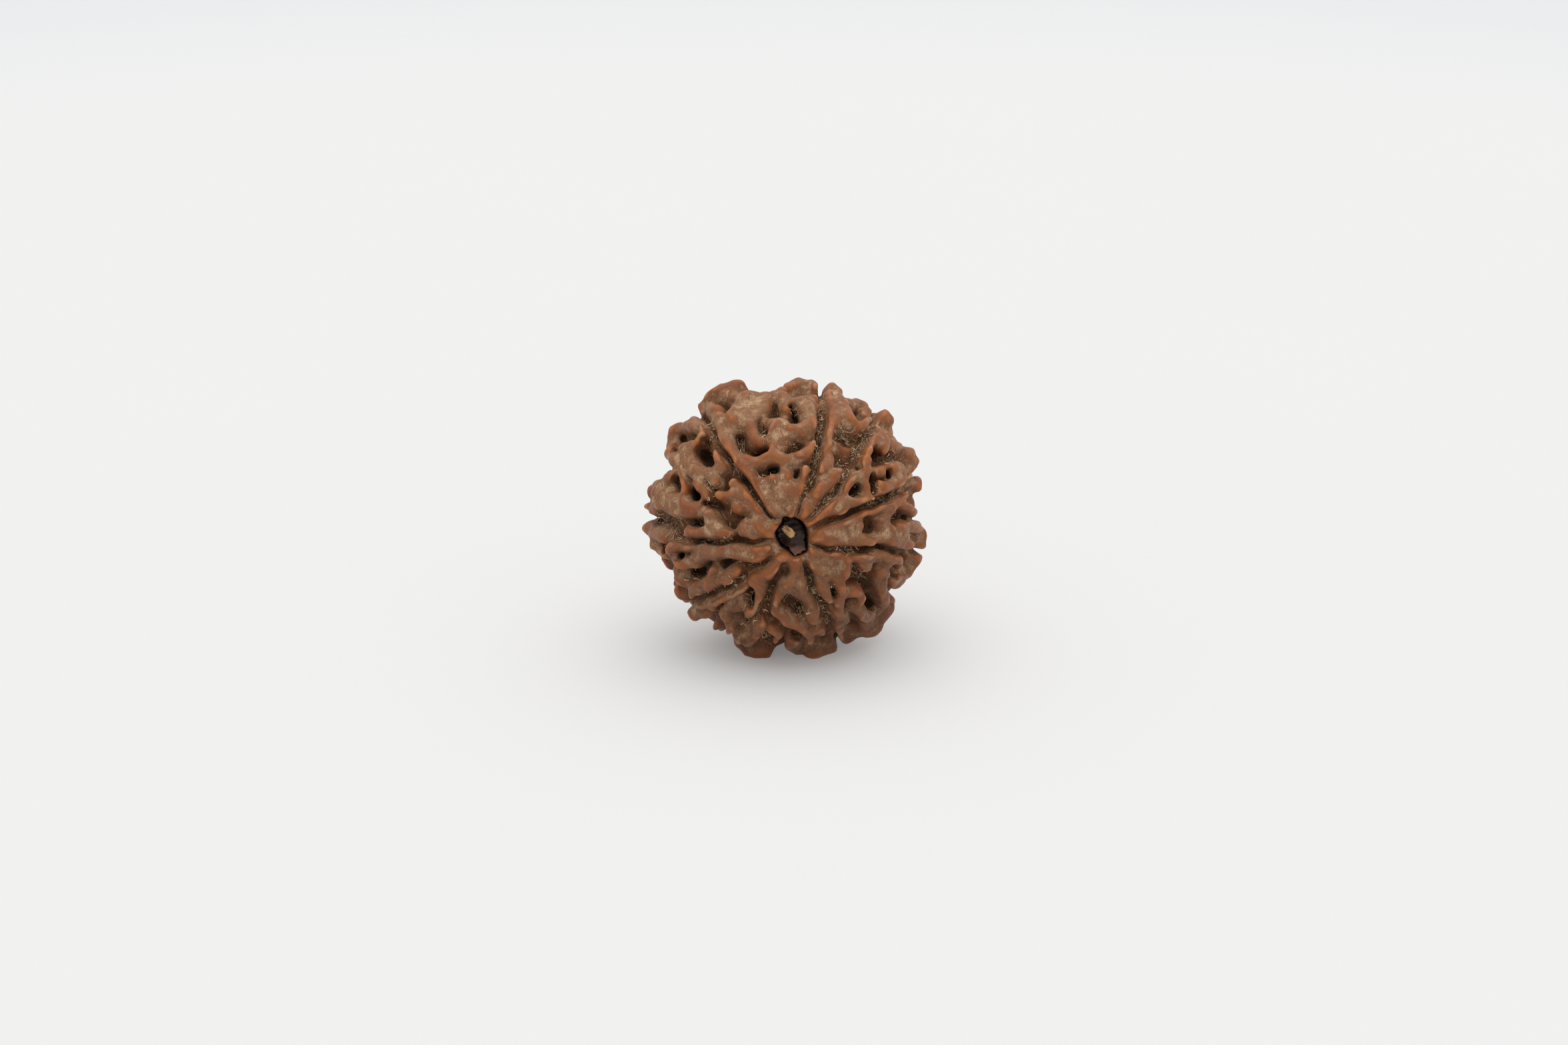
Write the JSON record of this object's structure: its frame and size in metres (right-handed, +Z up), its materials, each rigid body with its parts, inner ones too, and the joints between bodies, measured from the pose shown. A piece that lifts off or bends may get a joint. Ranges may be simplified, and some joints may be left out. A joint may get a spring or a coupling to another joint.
{
  "type": "rudraksha seed",
  "caption": "Whole rudraksha seed lying on its side: a ridged, pitted stone with radial grooves that meet at a bore closed by dark dried pith and a stub of strand.",
  "frame": {"origin": "on the plane the seed rests on, under the middle of its box", "axes": "+Z up, the bore runs along Y and its pith end points to -Y and 8.3 degrees upwards"},
  "size_m": [0.0252, 0.0197, 0.0237],
  "materials": {
    "stone": "polished orange-brown crests, dusty grey-pink slopes, dark brown valleys with pale fibres",
    "pith": "dark dried, slightly glossy on its high spots",
    "strand": "matte straw-coloured plant strand"
  },
  "bodies": {
    "root": {"stone": "stone", "pith": "pith", "strand": "strand"}
  },
  "joints": []
}
